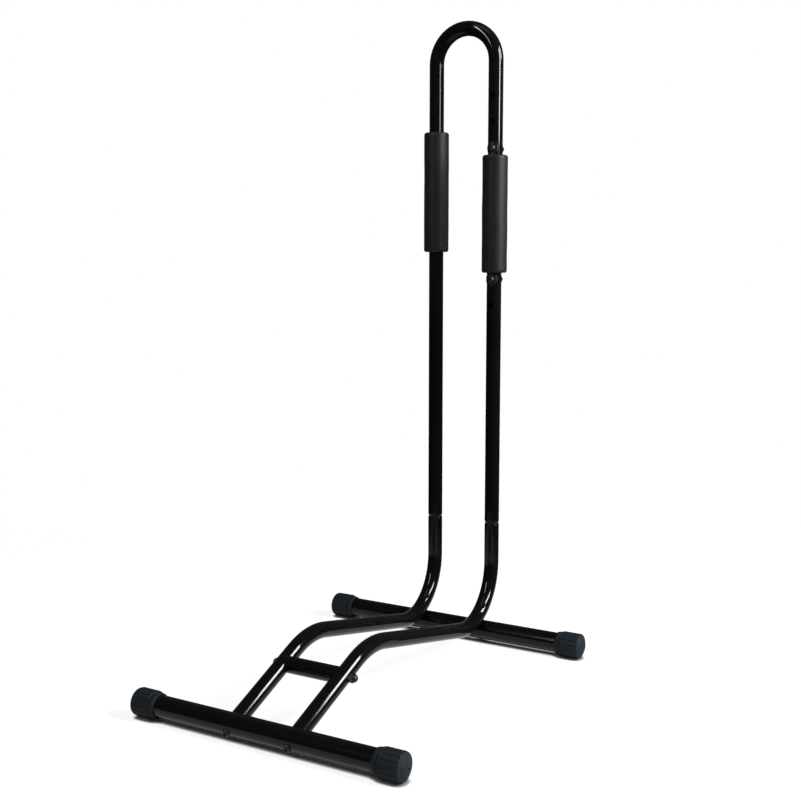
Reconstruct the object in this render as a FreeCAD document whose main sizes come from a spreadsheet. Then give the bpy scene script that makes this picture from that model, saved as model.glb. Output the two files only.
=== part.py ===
import FreeCAD, Part
import math
import os

import Sketcher

# Floor bike rack: a tall hoop whose two legs plug into two bent lower tubes, which are bolted to a
# front and a rear crossbar with rubber feet.  A wheel stands between the legs and the lower tubes.
#
# Row frame, millimetres: +X along the crossbars, the front crossbar towards -Y, +Z up, the floor
# at Z = 0 and the origin under the middle of the whole rack.

DRIVING_SIZES = (
    # name, millimetres or degrees, what it is
    ("tube_dia", 26.0, "outer diameter of the hoop, the lower tubes and the rung"),
    ("tube_wall", 1.5, "wall of those tubes"),
    ("leg_spacing", 117.0, "centre to centre of the two legs"),
    ("stand_height", 1100.0, "floor to the top of the hoop"),
    ("seam_height", 208.5, "floor to the top rim of the lower tubes"),
    ("plug_length", 60.0, "how deep the hoop's drawn-in ends reach into the lower tubes"),
    ("shoulder_length", 5.2, "cone between a leg's full diameter and its drawn-in end"),
    ("neck_gap", 0.1, "height of the cone's foot above the lower tube's rim"),
    ("rim_round", 1.2, "rounding of the lower tubes' top rim"),
    ("hole_dia", 9.0, "holes of the row in the right leg"),
    ("hole_pitch", 45.5, "pitch of that row"),
    ("hole_count", 9.0, "number of holes in that row"),
    ("hole_row_margin", 60.0, "from the row's top hole up to where the hoop's bend begins"),
    ("base_reach", 614.5, "plane of the legs to the front crossbar's axis"),
    ("incline_angle", 22.8, "slope of the lower tubes up from the front crossbar"),
    ("front_bend", 138.8, "centre-line radius of the lower tubes' front bend"),
    ("run_angle", 12.2, "slope of the lower tubes down towards the legs"),
    ("rear_bend", 100.0, "centre-line radius of the bend up into the legs"),
    ("bend_top", 138.0, "floor to the upper end of that bend"),
    ("toe_angle", 0.5, "how far each lower tube turns in towards the front"),
    ("bar_dia", 34.0, "outer diameter of the crossbars"),
    ("bar_wall", 1.5, "wall of the crossbars"),
    ("front_width", 478.0, "front crossbar over its end caps"),
    ("rear_width", 516.0, "rear crossbar over its end caps"),
    ("cap_dia", 43.0, "outer diameter of the end caps"),
    ("cap_length", 49.5, "length of the end caps"),
    ("cap_floor", 8.0, "closed end of the end caps"),
    ("cap_dome", 5.0, "rise of the end caps' outer face"),
    ("cap_rim_round", 5.0, "rounding of the end caps' outer rim"),
    ("collar_length", 9.0, "plain tapered collar at the caps' inner end"),
    ("collar_foot", 2.7, "how far the collar's thin end lies inside the caps' radius"),
    ("collar_drop", 1.0, "the same at its thick end"),
    ("groove_width", 1.4, "width of the groove beside the collar"),
    ("groove_depth", 2.0, "depth of that groove"),
    ("flute_count", 16.0, "shallow flutes round each cap"),
    ("flute_cutter", 9.0, "diameter of the round cutter of a flute"),
    ("flute_depth", 1.1, "depth of a flute"),
    ("flute_margin", 3.0, "plain rim beyond the flutes"),
    ("pit_dia", 3.4, "moulding pit in the middle of the caps' faces"),
    ("pit_depth", 2.5, "depth of that pit"),
    ("rung_distance", 489.5, "plane of the legs to the rung's axis"),
    ("bolt_dia", 8.0, "all bolts' shank"),
    ("bolt_clearance", 1.0, "bolt holes' extra diameter in the crossbars and lower tubes"),
    ("thread_clearance", 0.3, "extra diameter of threaded bores over the shank"),
    ("head_dia", 13.0, "button heads"),
    ("head_height", 4.2, "height of the button heads"),
    ("socket_width", 5.0, "hexagon socket across flats"),
    ("socket_depth", 2.5, "depth of that socket"),
    ("nut_width", 13.0, "nuts across flats"),
    ("nut_height", 6.5, "height of the nuts' hexagon"),
    ("nut_dome", 5.5, "height of the dome nut's cap above its hexagon"),
    ("plug_depth", 22.0, "length of the threaded plugs in the lower tubes' front ends"),
    ("plug_setback", 24.0, "front crossbar's axis to the plugs' front face"),
    ("boss_dia", 12.0, "threaded bosses in the rear bends"),
    ("boss_length", 9.0, "length of those bosses"),
    ("washer_dia", 22.0, "saddle washers on the right leg"),
    ("washer_thickness", 1.5, "thickness of the saddle washers"),
    ("foam_dia", 45.0, "foam sleeves' outer diameter"),
    ("foam_round", 4.0, "rounding of the foam sleeves' ends"),
    ("left_foam_height", 698.0, "floor to the foot of the left foam sleeve"),
    ("left_foam_length", 212.5, "length of the left foam sleeve, which nothing squeezes"),
    ("foam_pitch_count", 5.0, "hole pitches between the two stop bolts"),
    ("seat_gap", 0.1, "gap where one piece is seated against a round one"),
    ("running_gap", 0.08, "radial clearance of sliding tubes and sleeves"),
    ("stop_gap", 0.25, "gap between the right foam sleeve and each stop"),
)

doc = FreeCAD.newDocument("floor_bike_rack")
sheet = doc.addObject("Spreadsheet::Sheet", "Sizes")
for row, (name, value, meaning) in enumerate(DRIVING_SIZES, start=1):
    sheet.set(f"A{row}", name)
    sheet.set(f"B{row}", str(value))
    sheet.set(f"C{row}", meaning)
    sheet.setAlias(f"B{row}", name)
doc.recompute()


class Size:
    """A number together with the sheet formula that gives it."""

    def __init__(self, value, formula):
        self.value = float(value)
        self.formula = formula

    def _join(self, other, sign, value):
        other = as_size(other)
        return Size(value(self.value, other.value), f"({self.formula} {sign} {other.formula})")

    def __add__(self, other):
        return self._join(other, "+", lambda a, b: a + b)

    def __radd__(self, other):
        return as_size(other) + self

    def __sub__(self, other):
        return self._join(other, "-", lambda a, b: a - b)

    def __rsub__(self, other):
        return as_size(other) - self

    def __mul__(self, other):
        return self._join(other, "*", lambda a, b: a * b)

    def __rmul__(self, other):
        return as_size(other) * self

    def __truediv__(self, other):
        return self._join(other, "/", lambda a, b: a / b)

    def __neg__(self):
        return 0 - self


def as_size(number):
    return number if isinstance(number, Size) else Size(number, repr(float(number)))


def size(name):
    return Size(sheet.get(name), f"{sheet.Name}.{name}")


def root(area):
    return Size(math.sqrt(area.value), f"sqrt({area.formula})")


def sine(angle):
    return Size(math.sin(math.radians(angle.value)), f"sin({angle.formula})")


def cosine(angle):
    return Size(math.cos(math.radians(angle.value)), f"cos({angle.formula})")


def tangent(angle):
    return Size(math.tan(math.radians(angle.value)), f"tan({angle.formula})")


def bind(thing, prop, length):
    thing.setExpression(prop, as_size(length).formula)


# ---------------------------------------------------------------- sizes worked out from the sheet

tube_radius = size("tube_dia") / 2
tube_bore = tube_radius - size("tube_wall")
leg_x = size("leg_spacing") / 2
bar_radius = size("bar_dia") / 2
cap_radius = size("cap_dia") / 2
bar_height = cap_radius
foam_radius = size("foam_dia") / 2
bolt_radius = size("bolt_dia") / 2
bolt_hole_radius = bolt_radius + size("bolt_clearance") / 2
thread_radius = bolt_radius + size("thread_clearance") / 2
head_radius = size("head_dia") / 2
washer_radius = size("washer_dia") / 2
incline = size("incline_angle")
run = size("run_angle")

# The rack reaches from the front caps to the back of the foam sleeves; its middle is at Y = 0.
leg_y = (size("base_reach") + cap_radius - foam_radius) / 2
front_bar_y = leg_y - size("base_reach")

# The rear crossbar lies under and behind the bend up into the legs and touches it from outside.
bend_centre_y = -size("rear_bend")
bend_centre_z = size("bend_top")
bend_to_bar = size("rear_bend") + tube_radius + bar_radius + size("seat_gap")
bend_drop = bend_centre_z - bar_height
rear_bar_offset = bend_centre_y + root(bend_to_bar * bend_to_bar - bend_drop * bend_drop)
rear_bar_y = leg_y + rear_bar_offset
rear_bolt_cosine = (rear_bar_offset - bend_centre_y) / bend_to_bar
rear_bolt_sine = bend_drop / bend_to_bar
rear_bolt_angle = Size(
    math.degrees(math.atan2(rear_bolt_sine.value, rear_bolt_cosine.value)),
    f"(atan2({rear_bolt_sine.formula}; {rear_bolt_cosine.formula}) / 1 deg)",
)

rung_height = bar_height + (size("base_reach") - size("rung_distance")) * tangent(incline)
hoop_bend_height = size("stand_height") - tube_radius - leg_x
hole_row_span = (size("hole_count") - 1) * size("hole_pitch")
lowest_hole = hoop_bend_height - size("hole_row_margin") - hole_row_span
stop_span = size("foam_pitch_count") * size("hole_pitch")
lower_stop_z = lowest_hole + size("hole_pitch")
upper_stop_z = lower_stop_z + stop_span
right_foam_length = stop_span - size("washer_dia") - 2 * size("stop_gap")
right_foam_z = lower_stop_z + washer_radius + size("stop_gap")


def lower_tube_x(distance):
    """Distance of a lower tube's axis from the middle, so far in front of the legs."""
    return leg_x - distance * tangent(size("toe_angle"))


front_bolt_x = lower_tube_x(size("base_reach") - size("plug_setback"))
rear_bolt_x = lower_tube_x(-rear_bar_offset)
rung_half = lower_tube_x(size("rung_distance"))


# ------------------------------------------------------------------------------- small CAD helpers

def make_body(name):
    body = doc.addObject("PartDesign::Body", name)
    body.Label = name
    return body


def origin_feature(body, role):
    return next(feature for feature in body.Origin.OriginFeatures if feature.Role == role)


def sketch_on(body, role, name, turn_x=None, **offsets):
    """A sketch on one of the body's own planes, moved by offset_x, _y or _z and turned about X."""
    sketch = body.newObject("Sketcher::SketchObject", name)
    sketch.AttachmentSupport = [(origin_feature(body, role), "")]
    sketch.MapMode = "FlatFace"
    turn = FreeCAD.Rotation(FreeCAD.Vector(1, 0, 0), turn_x.value if turn_x else 0)
    sketch.AttachmentOffset = FreeCAD.Placement(FreeCAD.Vector(), turn)
    if turn_x:
        bind(sketch, "AttachmentOffset.Rotation.Angle", turn_x)
    for axis, length in offsets.items():
        bind(sketch, f"AttachmentOffset.Base.{axis}", length)
    return sketch


def constrain(sketch, prop, *details, length):
    index = sketch.addConstraint(Sketcher.Constraint(prop, *details, as_size(length).value))
    if as_size(length).formula != repr(as_size(length).value):
        bind(sketch, f"Constraints[{index}]", length)


def add_circle(sketch, radius, x=None, y=None):
    """A circle in a sketch, with its radius and centre bound to the sheet."""
    x, y = as_size(x or 0), as_size(y or 0)
    centre = FreeCAD.Vector(x.value, y.value, 0)
    circle = sketch.addGeometry(Part.Circle(centre, FreeCAD.Vector(0, 0, 1), radius.value), False)
    pin_point(sketch, circle, 3, x, y)
    constrain(sketch, "Radius", circle, length=radius)
    return circle


def pin_across(sketch, geometry, point, x, kind="DistanceX", axis=-2):
    """Fix one coordinate of a point of a sketch; a plain zero puts the point on the axis."""
    x = as_size(x)
    if x.formula == "0.0":
        sketch.addConstraint(Sketcher.Constraint("PointOnObject", geometry, point, axis))
    else:
        constrain(sketch, kind, -1, 1, geometry, point, length=x)


def pin_point(sketch, geometry, point, x, y):
    """Fix a point of a sketch at x, y from the sketch's origin."""
    pin_across(sketch, geometry, point, x)
    pin_across(sketch, geometry, point, y, "DistanceY", -1)


def add_outline(sketch, points, arcs=None):
    """A closed outline through points; arcs gives the centre of an arc that leaves a point."""
    arcs = arcs or {}
    points = [(as_size(x), as_size(y)) for x, y in points]
    count = len(points)
    first = None
    for index, (x, y) in enumerate(points):
        end_x, end_y = points[(index + 1) % count]
        start = FreeCAD.Vector(x.value, y.value, 0)
        end = FreeCAD.Vector(end_x.value, end_y.value, 0)
        if index in arcs:
            centre_x, centre_y = (as_size(length) for length in arcs[index])
            centre = FreeCAD.Vector(centre_x.value, centre_y.value, 0)
            radius = (start - centre).Length
            angles = [math.atan2((p - centre).y, (p - centre).x) for p in (start, end)]
            circle = Part.Circle(centre, FreeCAD.Vector(0, 0, 1), radius)
            clockwise = (angles[1] - angles[0]) % (2 * math.pi) > math.pi
            ends = (angles[1], angles[0]) if clockwise else (angles[0], angles[1])
            geometry = sketch.addGeometry(Part.ArcOfCircle(circle, *ends), False)
            pin_point(sketch, geometry, 2 if clockwise else 1, x, y)
            pin_across(sketch, geometry, 3, centre_x)
            last_start, last_end = (2, 1) if clockwise else (1, 2)
        else:
            geometry = sketch.addGeometry(Part.LineSegment(start, end), False)
            pin_point(sketch, geometry, 1, x, y)
            last_start, last_end = 1, 2
        if index:
            sketch.addConstraint(Sketcher.Constraint("Coincident", previous, previous_end,
                                                     geometry, last_start))
        else:
            first = (geometry, last_start)
        previous, previous_end = geometry, last_end
    if count - 1 not in arcs:
        sketch.addConstraint(Sketcher.Constraint("Coincident", previous, previous_end, *first))


def add_hexagon(sketch, across_flats):
    """A hexagon about the sketch's origin."""
    corner = across_flats / (2 * cosine(as_size(30)))
    points = [(corner * cosine(as_size(60 * step)), corner * sine(as_size(60 * step)))
              for step in range(6)]
    add_outline(sketch, points)


def pad(body, sketch, length, symmetric=False, name="Pad"):
    feature = body.newObject("PartDesign::Pad", name)
    feature.Profile = sketch
    feature.SideType = "Symmetric" if symmetric else "One side"
    bind(feature, "Length", length)
    return feature


def pocket(body, sketch, length, symmetric=False, reverse=False, name="Pocket"):
    """Cut a sketch into the body and make sure that it took something away."""
    doc.recompute()
    before = body.Shape.Volume
    feature = body.newObject("PartDesign::Pocket", name)
    feature.Profile = sketch
    feature.SideType = "Symmetric" if symmetric else "One side"
    feature.Reversed = reverse
    bind(feature, "Length", length)
    doc.recompute()
    if body.Shape.Volume >= before - 1e-6:
        raise RuntimeError(f"{body.Label}: {name} cuts nothing")
    return feature


def revolve(body, sketch, axis, name="Revolution"):
    feature = body.newObject("PartDesign::Revolution", name)
    feature.Profile = sketch
    feature.ReferenceAxis = (sketch, [axis])
    feature.Angle = FULL_TURN
    return feature


def pipe(body, profile, path, name="Tube"):
    feature = body.newObject("PartDesign::AdditivePipe", name)
    feature.Profile = profile
    feature.Spine = (path, [])
    return feature


def tube_section(sketch, outer, wall):
    add_circle(sketch, outer)
    add_circle(sketch, outer - wall)


def stand_at(thing, x, y, z, turn_axis=None, turn=None):
    """Place a sub-part in the row frame, turned about one axis by an angle from the sheet."""
    axis = turn_axis or FreeCAD.Vector(0, 0, 1)
    turn = as_size(turn or 0)
    thing.Placement = FreeCAD.Placement(FreeCAD.Vector(), FreeCAD.Rotation(axis, turn.value))
    for name, length in (("x", x), ("y", y), ("z", z)):
        bind(thing, f"Placement.Base.{name}", length)
    bind(thing, "Placement.Rotation.Angle", turn)
    return thing


X_AXIS = FreeCAD.Vector(1, 0, 0)
Z_AXIS = FreeCAD.Vector(0, 0, 1)
MATCH = 1e-3
FULL_TURN = 360
RIGHT_ANGLE = FULL_TURN / 4
sub_parts = []


# ------------------------------------------------------------------------------------------- hoop

def make_hoop():
    """One tube bent to a half circle, with both ends drawn in to plug into the lower tubes."""
    body = make_body("hoop_tube")
    straight_foot = size("seam_height") + size("neck_gap") + size("shoulder_length")

    path = sketch_on(body, "XZ_Plane", "HoopPath")
    foot, top, side = straight_foot.value, hoop_bend_height.value, leg_x.value
    corners = [FreeCAD.Vector(-side, foot, 0), FreeCAD.Vector(-side, top, 0),
               FreeCAD.Vector(side, top, 0), FreeCAD.Vector(side, foot, 0)]
    left = path.addGeometry(Part.LineSegment(corners[0], corners[1]), False)
    circle = Part.Circle(FreeCAD.Vector(0, top, 0), Z_AXIS, side)
    arc = path.addGeometry(Part.ArcOfCircle(circle, 0, math.pi), False)
    right = path.addGeometry(Part.LineSegment(corners[2], corners[3]), False)
    path.addConstraint(Sketcher.Constraint("Coincident", left, 2, arc, 2))
    path.addConstraint(Sketcher.Constraint("Coincident", right, 1, arc, 1))
    pin_point(path, left, 1, -leg_x, straight_foot)
    pin_point(path, arc, 3, 0, hoop_bend_height)
    pin_point(path, left, 2, -leg_x, hoop_bend_height)
    constrain(path, "DistanceY", -1, 1, right, 1, length=hoop_bend_height)
    pin_point(path, right, 2, leg_x, straight_foot)

    section = sketch_on(body, "XY_Plane", "HoopSection", x=-leg_x, z=straight_foot)
    tube_section(section, tube_radius, size("tube_wall"))
    pipe(body, section, path, "HoopTube")

    # The drawn-in end: a cone down to the plug, which slides in the lower tube's bore.
    plug_radius = tube_bore - size("running_gap")
    plug_bore = plug_radius - size("tube_wall")
    shoulder_foot = size("seam_height") + size("neck_gap")
    plug_foot = size("seam_height") - size("plug_length")
    end = sketch_on(body, "XZ_Plane", "DrawnInEnd", x=-leg_x)
    add_outline(end, [
        (tube_radius, straight_foot),
        (tube_bore, straight_foot),
        (plug_bore, shoulder_foot),
        (plug_bore, plug_foot),
        (plug_radius, plug_foot),
        (plug_radius, shoulder_foot),
    ])
    plug = revolve(body, end, "V_Axis", "LeftPlug")
    doc.recompute()
    mirror = body.newObject("PartDesign::Mirrored", "RightPlug")
    mirror.Originals = [plug]
    mirror.MirrorPlane = (origin_feature(body, "YZ_Plane"), [""])
    body.Tip = mirror

    hole = sketch_on(body, "XZ_Plane", "RowHole")
    add_circle(hole, size("hole_dia") / 2, leg_x, lowest_hole)
    drilled = pocket(body, hole, size("tube_dia") * 2, symmetric=True, name="LowestHole")
    pattern = body.newObject("PartDesign::LinearPattern", "HoleRow")
    pattern.Originals = [drilled]
    pattern.Direction = (origin_feature(body, "Z_Axis"), [""])
    pattern.Mode = "Spacing"
    bind(pattern, "Offset", size("hole_pitch"))
    bind(pattern, "Occurrences", size("hole_count"))
    body.Tip = pattern
    sub_parts.append(stand_at(body, 0, leg_y, 0))


# ------------------------------------------------------------------------------------ lower tubes

def lower_tube_path(body):
    """The lower tube's centre line in its own frame, where the leg's axis is the Z axis."""
    path = sketch_on(body, "YZ_Plane", "LowerPath")
    up, down = math.radians(incline.value), math.radians(run.value)
    reach, low = size("base_reach").value, bar_height.value
    front, rear = size("front_bend").value, size("rear_bend").value
    top = size("bend_top").value

    # Rear bend: from the descending run up to the vertical.
    rear_centre = FreeCAD.Vector(-rear, top, 0)
    run_end = rear_centre + FreeCAD.Vector(-math.sin(down), -math.cos(down), 0) * rear
    # Front bend: tangent to the incline and to the run.
    start = FreeCAD.Vector(-reach, low, 0)
    along_incline = FreeCAD.Vector(math.cos(up), math.sin(up), 0)
    along_run = FreeCAD.Vector(math.cos(down), -math.sin(down), 0)
    gap = run_end - start
    cross = along_incline.x * along_run.y - along_incline.y * along_run.x
    to_corner = (gap.x * along_run.y - gap.y * along_run.x) / cross
    corner = start + along_incline * to_corner
    setback = front * math.tan((up + down) / 2)
    incline_end = corner - along_incline * setback
    run_start = corner + along_run * setback
    front_centre = incline_end + FreeCAD.Vector(math.sin(up), -math.cos(up), 0) * front
    seam = FreeCAD.Vector(0, size("seam_height").value, 0)

    slope = path.addGeometry(Part.LineSegment(start, incline_end), False)
    front_arc = path.addGeometry(Part.ArcOfCircle(
        Part.Circle(front_centre, Z_AXIS, front), math.pi / 2 - down, math.pi / 2 + up), False)
    descent = path.addGeometry(Part.LineSegment(run_start, run_end), False)
    rear_arc = path.addGeometry(Part.ArcOfCircle(
        Part.Circle(rear_centre, Z_AXIS, rear), -math.pi / 2 - down, 0), False)
    stub = path.addGeometry(Part.LineSegment(FreeCAD.Vector(0, top, 0), seam), False)

    path.addConstraint(Sketcher.Constraint("Tangent", slope, 2, front_arc, 2))
    path.addConstraint(Sketcher.Constraint("Tangent", front_arc, 1, descent, 1))
    path.addConstraint(Sketcher.Constraint("Tangent", descent, 2, rear_arc, 1))
    path.addConstraint(Sketcher.Constraint("Tangent", rear_arc, 2, stub, 1))
    pin_point(path, slope, 1, -size("base_reach"), bar_height)
    constrain(path, "Angle", slope, length=Size(up, f"{incline.formula} * 1 deg"))
    constrain(path, "Radius", front_arc, length=size("front_bend"))
    constrain(path, "Angle", -1, 1, descent, 1, length=Size(-down, f"-{run.formula} * 1 deg"))
    constrain(path, "Radius", rear_arc, length=size("rear_bend"))
    pin_point(path, rear_arc, 2, 0, size("bend_top"))
    pin_point(path, stub, 2, 0, size("seam_height"))
    return path


def make_lower_tube(name, side):
    """A bent lower tube: incline from the front crossbar, a run down to the rear, a bend up."""
    body = make_body(name)
    path = lower_tube_path(body)
    section = sketch_on(body, "XY_Plane", "Section", z=size("seam_height"))
    tube_section(section, tube_radius, size("tube_wall"))
    bent = pipe(body, section, path, "BentTube")
    doc.recompute()

    # The outer edge of the tube's upper rim is the widest one that lies flat at the seam.
    rim = body.newObject("PartDesign::Fillet", "RolledRim")
    rim_edges = [
        f"Edge{index}" for index, edge in enumerate(bent.Shape.Edges, start=1)
        if abs(edge.BoundBox.ZMin - size("seam_height").value) < MATCH
        and abs(edge.BoundBox.ZMax - size("seam_height").value) < MATCH
        and abs(edge.BoundBox.XLength - size("tube_dia").value) < MATCH
    ]
    rim.Base = (bent, rim_edges)
    bind(rim, "Radius", size("rim_round"))
    doc.recompute()

    # The front end is shaped to the round crossbar.
    mouth = sketch_on(body, "YZ_Plane", "CrossbarSeat")
    add_circle(mouth, bar_radius + size("seat_gap"), -size("base_reach"), bar_height)
    pocket(body, mouth, size("tube_dia") * 2, symmetric=True, name="Mouth")

    hole = sketch_on(body, "YZ_Plane", "RungBoltHole")
    add_circle(hole, bolt_hole_radius, -size("rung_distance"), rung_height)
    pocket(body, hole, size("tube_dia") * 2, symmetric=True, name="RungHole")

    # The threaded boss of the rear bolt sits in the outside of the rear bend.
    boss = sketch_on(body, "XY_Plane", "BossHole", turn_x=RIGHT_ANGLE - rear_bolt_angle,
                     y=rear_bar_offset, z=bar_height)
    add_circle(boss, size("boss_dia") / 2 + size("seat_gap"))
    pocket(body, boss, bar_radius + tube_radius, reverse=True, name="BossSeat")

    turn = size("toe_angle") * -side
    sub_parts.append(stand_at(body, leg_x * side, leg_y, 0, Z_AXIS, turn))


# -------------------------------------------------------------------------------------- crossbars

def make_crossbar(name, width, y, bolt_x, bolt_turn):
    """A straight tube along X with a bolt hole for each lower tube, drilled along the bolt."""
    body = make_body(name)
    section = sketch_on(body, "YZ_Plane", "BarSection")
    tube_section(section, bar_radius, size("bar_wall"))
    pad(body, section, width - 2 * size("cap_floor"), symmetric=True, name="BarTube")
    holes = sketch_on(body, "XY_Plane", "BoltHoles", turn_x=bolt_turn)
    for side in (-1, 1):
        add_circle(holes, bolt_hole_radius, bolt_x * side, 0)
    pocket(body, holes, size("bar_dia") * 2, symmetric=True, name="BoltHoles")
    sub_parts.append(stand_at(body, 0, y, bar_height))


def make_end_cap(name, side, width, y):
    """A rubber cap over a crossbar's end: plain collar, groove, fluted grip, domed face."""
    body = make_body(name)
    length = size("cap_length")
    socket = bar_radius + size("running_gap")
    depth = length - size("cap_floor")
    edge = length - size("cap_dome")
    collar = size("collar_length")
    groove = size("groove_width")
    groove_radius = cap_radius - size("groove_depth")
    rim = size("cap_rim_round")
    flat_radius = cap_radius - rim
    dome_radius = (flat_radius * flat_radius / size("cap_dome") + size("cap_dome")) / 2
    profile = sketch_on(body, "XZ_Plane", "CapProfile")
    add_outline(profile, [
        (0, socket),
        (0, cap_radius - size("collar_foot")),
        (collar, cap_radius - size("collar_drop")),
        (collar, groove_radius),
        (collar + groove, groove_radius),
        (collar + groove, cap_radius),
        (edge - rim, cap_radius),
        (edge, flat_radius),
        (length, 0),
        (depth, 0),
        (depth, socket),
    ], arcs={6: (edge - rim, flat_radius), 7: (length - dome_radius, 0)})
    revolve(body, profile, "H_Axis", "CapSolid")

    flute_start = collar + 2 * groove
    flute = sketch_on(body, "YZ_Plane", "FluteSection", z=flute_start)
    cutter = size("flute_cutter") / 2
    add_circle(flute, cutter, 0, cap_radius + cutter - size("flute_depth"))
    cut = pocket(body, flute, edge - flute_start - size("flute_margin"), reverse=True, name="Flute")
    pattern = body.newObject("PartDesign::PolarPattern", "Flutes")
    pattern.Originals = [cut]
    pattern.Axis = (origin_feature(body, "X_Axis"), [""])
    pattern.Angle = FULL_TURN
    bind(pattern, "Occurrences", size("flute_count"))
    body.Tip = pattern

    pit = sketch_on(body, "YZ_Plane", "PitSection", z=length - size("pit_depth"))
    add_circle(pit, size("pit_dia") / 2)
    pocket(body, pit, size("pit_depth") + size("cap_dome"), reverse=True, name="Pit")
    turn = as_size(0 if side > 0 else FULL_TURN / 2)
    sub_parts.append(stand_at(body, (width / 2 - length) * side, y, bar_height, Z_AXIS, turn))


# -------------------------------------------------------------------------------------- fasteners

def make_bolt(name, x, y, z, turn, shank):
    """A button-head bolt: the seat of its head at the local origin, its head towards local +Z."""
    body = make_body(name)
    height = size("head_height")
    crown = head_radius / 2
    profile = sketch_on(body, "XZ_Plane", "BoltProfile")
    # The head's round flank runs from the rim up to a small flat crown.
    lean = (head_radius * head_radius - crown * crown - height * height) / (2 * height)
    add_outline(profile, [
        (0, -shank),
        (bolt_radius, -shank),
        (bolt_radius, 0),
        (head_radius, 0),
        (crown, height),
        (0, height),
    ], arcs={3: (0, -lean)})
    revolve(body, profile, "V_Axis", "BoltSolid")
    socket = sketch_on(body, "XY_Plane", "Socket", z=height)
    add_hexagon(socket, size("socket_width"))
    pocket(body, socket, size("socket_depth"), name="HexSocket")
    sub_parts.append(stand_at(body, x, y, z, X_AXIS, turn))


def make_dome_nut(name, x, y, z):
    """The rung bolt's closed nut on the outer side of the right lower tube."""
    body = make_body(name)
    hexagon = sketch_on(body, "YZ_Plane", "NutHexagon")
    add_hexagon(hexagon, size("nut_width"))
    pad(body, hexagon, size("nut_height"), name="Hexagon")
    dome = size("nut_dome")
    foot = size("nut_width") / 2 - size("seat_gap")
    top_radius = (foot * foot / dome + dome) / 2
    cap = sketch_on(body, "XZ_Plane", "DomeProfile")
    add_outline(cap, [
        (size("nut_height"), 0),
        (size("nut_height"), foot),
        (size("nut_height") + dome, 0),
    ], arcs={1: (size("nut_height") + dome - top_radius, 0)})
    revolve(body, cap, "H_Axis", "Dome")
    bore = sketch_on(body, "YZ_Plane", "ThreadBore")
    add_circle(bore, thread_radius)
    pocket(body, bore, size("nut_height") + dome / 2, reverse=True, name="Thread")
    sub_parts.append(stand_at(body, x, y, z))


def make_threaded_plug(name, side):
    """A plug in a lower tube's front end that the front crossbar's bolt screws into."""
    body = make_body(name)
    section = sketch_on(body, "XY_Plane", "PlugSection", turn_x=incline - RIGHT_ANGLE,
                        y=-size("base_reach"), z=bar_height)
    add_circle(section, tube_bore - size("seat_gap"), 0, 0)
    pad(body, section, size("plug_setback") + size("plug_depth"), name="Plug")
    trim = sketch_on(body, "XY_Plane", "PlugFront", turn_x=incline - RIGHT_ANGLE,
                     y=-size("base_reach"), z=bar_height)
    add_circle(trim, tube_radius, 0, 0)
    pocket(body, trim, size("plug_setback"), reverse=True, name="Setback")
    bore = sketch_on(body, "XY_Plane", "PlugThread", turn_x=incline - RIGHT_ANGLE,
                     y=-size("base_reach"), z=bar_height)
    add_circle(bore, thread_radius, 0, 0)
    pocket(body, bore, size("plug_setback") + 2 * size("plug_depth"), reverse=True, name="Thread")
    sub_parts.append(stand_at(body, leg_x * side, leg_y, 0, Z_AXIS, size("toe_angle") * -side))


def make_boss(name, side):
    """A threaded boss in the rear bend's outside for the rear crossbar's bolt."""
    body = make_body(name)
    section = sketch_on(body, "XY_Plane", "BossSection", turn_x=RIGHT_ANGLE - rear_bolt_angle,
                        y=bend_centre_y, z=bend_centre_z)
    outer_end = size("rear_bend") + tube_radius
    add_circle(section, size("boss_dia") / 2, 0, 0)
    solid = pad(body, section, outer_end, name="Boss")
    solid.Reversed = True
    trim = sketch_on(body, "XY_Plane", "BossInnerEnd", turn_x=RIGHT_ANGLE - rear_bolt_angle,
                     y=bend_centre_y, z=bend_centre_z)
    add_circle(trim, size("boss_dia"), 0, 0)
    pocket(body, trim, outer_end - size("boss_length"), name="InnerEnd")
    bore = sketch_on(body, "XY_Plane", "BossThread", turn_x=RIGHT_ANGLE - rear_bolt_angle,
                     y=bend_centre_y, z=bend_centre_z)
    add_circle(bore, thread_radius, 0, 0)
    pocket(body, bore, outer_end * 2, name="Thread")
    sub_parts.append(stand_at(body, leg_x * side, leg_y, 0, Z_AXIS, size("toe_angle") * -side))


# ------------------------------------------------------------------------------------------- rung

def make_rung():
    """The round spacer between the lower tubes, its ends shaped to them; a wheel rests on it."""
    body = make_body("rung_tube")
    section = sketch_on(body, "YZ_Plane", "RungSection")
    tube_section(section, tube_radius - size("seat_gap"), size("tube_wall"))
    pad(body, section, rung_half * 2, symmetric=True, name="Rung")
    seats = sketch_on(body, "XY_Plane", "LowerTubeSeats", turn_x=incline - RIGHT_ANGLE)
    for side in (-1, 1):
        add_circle(seats, tube_radius + 2 * size("seat_gap"), rung_half * side, 0)
    pocket(body, seats, size("tube_dia") * 3, symmetric=True, name="Seats")
    sub_parts.append(stand_at(body, 0, leg_y - size("rung_distance"), rung_height))


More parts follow.
